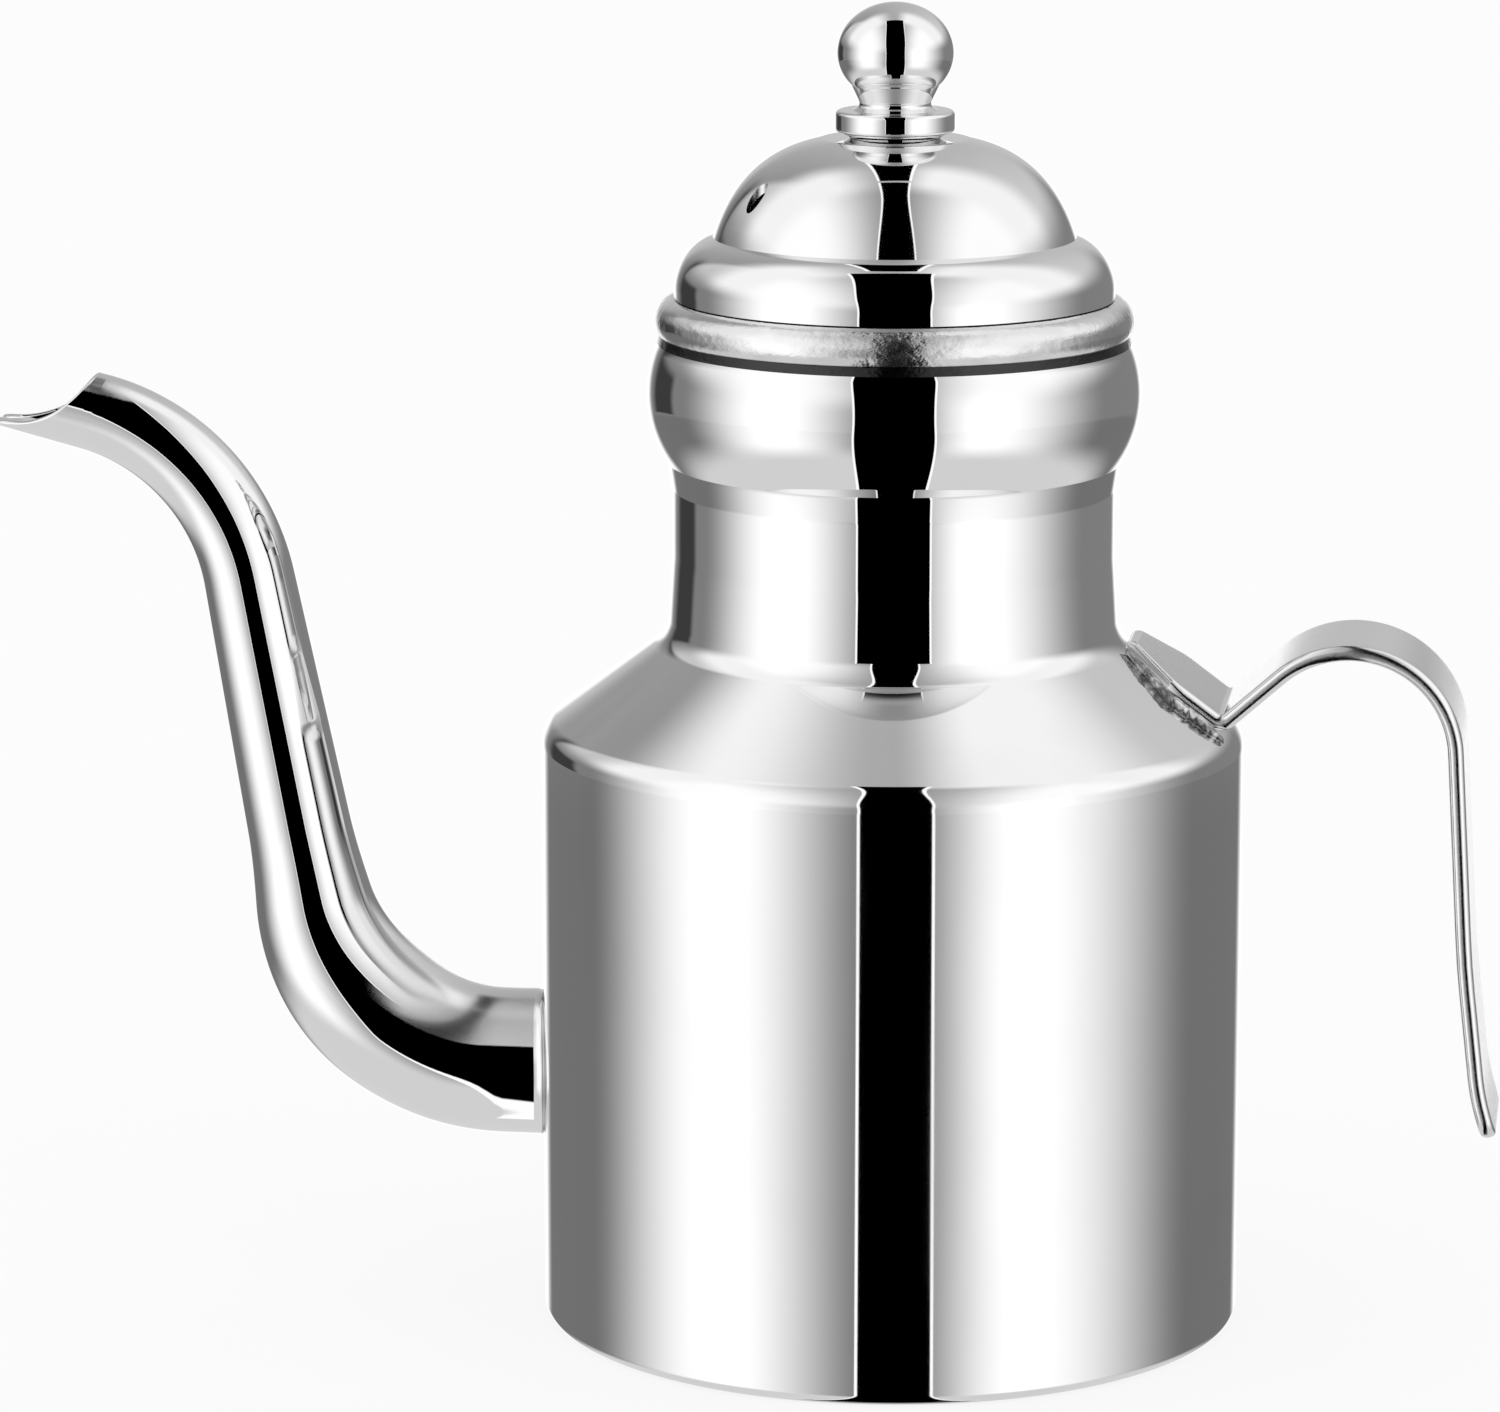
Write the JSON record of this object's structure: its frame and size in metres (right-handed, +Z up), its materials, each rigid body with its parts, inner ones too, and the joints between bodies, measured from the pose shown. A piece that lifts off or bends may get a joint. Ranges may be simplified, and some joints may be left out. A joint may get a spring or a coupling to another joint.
{
  "type": "gooseneck kettle",
  "caption": "Small polished steel gooseneck kettle: straight pot with conical shoulder, bulged collar, slender swept spout, open strip handle and lift-off domed lid with ball knob.",
  "frame": {"origin": "centre of the flat face that the pot stands on, on the axis of the pot, lid and knob", "axes": "+Z up along the pot's axis; +X towards the handle, -X towards the spout's tip; the pot mirrors across the XZ plane, apart from the lid's steam hole"},
  "size_m": [0.1961, 0.09, 0.17],
  "materials": {
    "polished_steel": "mirror-polished stainless sheet",
    "strip_steel": "buffed stainless strip, faint length-wise lines",
    "weld_bead": "rippled weld bead, brushed bright on its crown and darker at its edges"
  },
  "bodies": {
    "pot": {"pot_wall": "polished_steel", "pot_base": "polished_steel", "shoulder_and_neck": "polished_steel", "spout": "polished_steel", "spout_weld": "polished_steel", "handle": "strip_steel", "handle_welds": "weld_bead"},
    "lid": {"lid_dome": "polished_steel", "lid_sleeve": "strip_steel", "knob": "polished_steel", "knob_spacer": "polished_steel", "knob_screw": "strip_steel", "knob_washer": "strip_steel"}
  },
  "joints": [
    {"name": "lid_lift", "type": "slide", "parent": "pot", "child": "lid", "axis": [0, 0, 1], "range_m": [0, 0.06]}
  ]
}
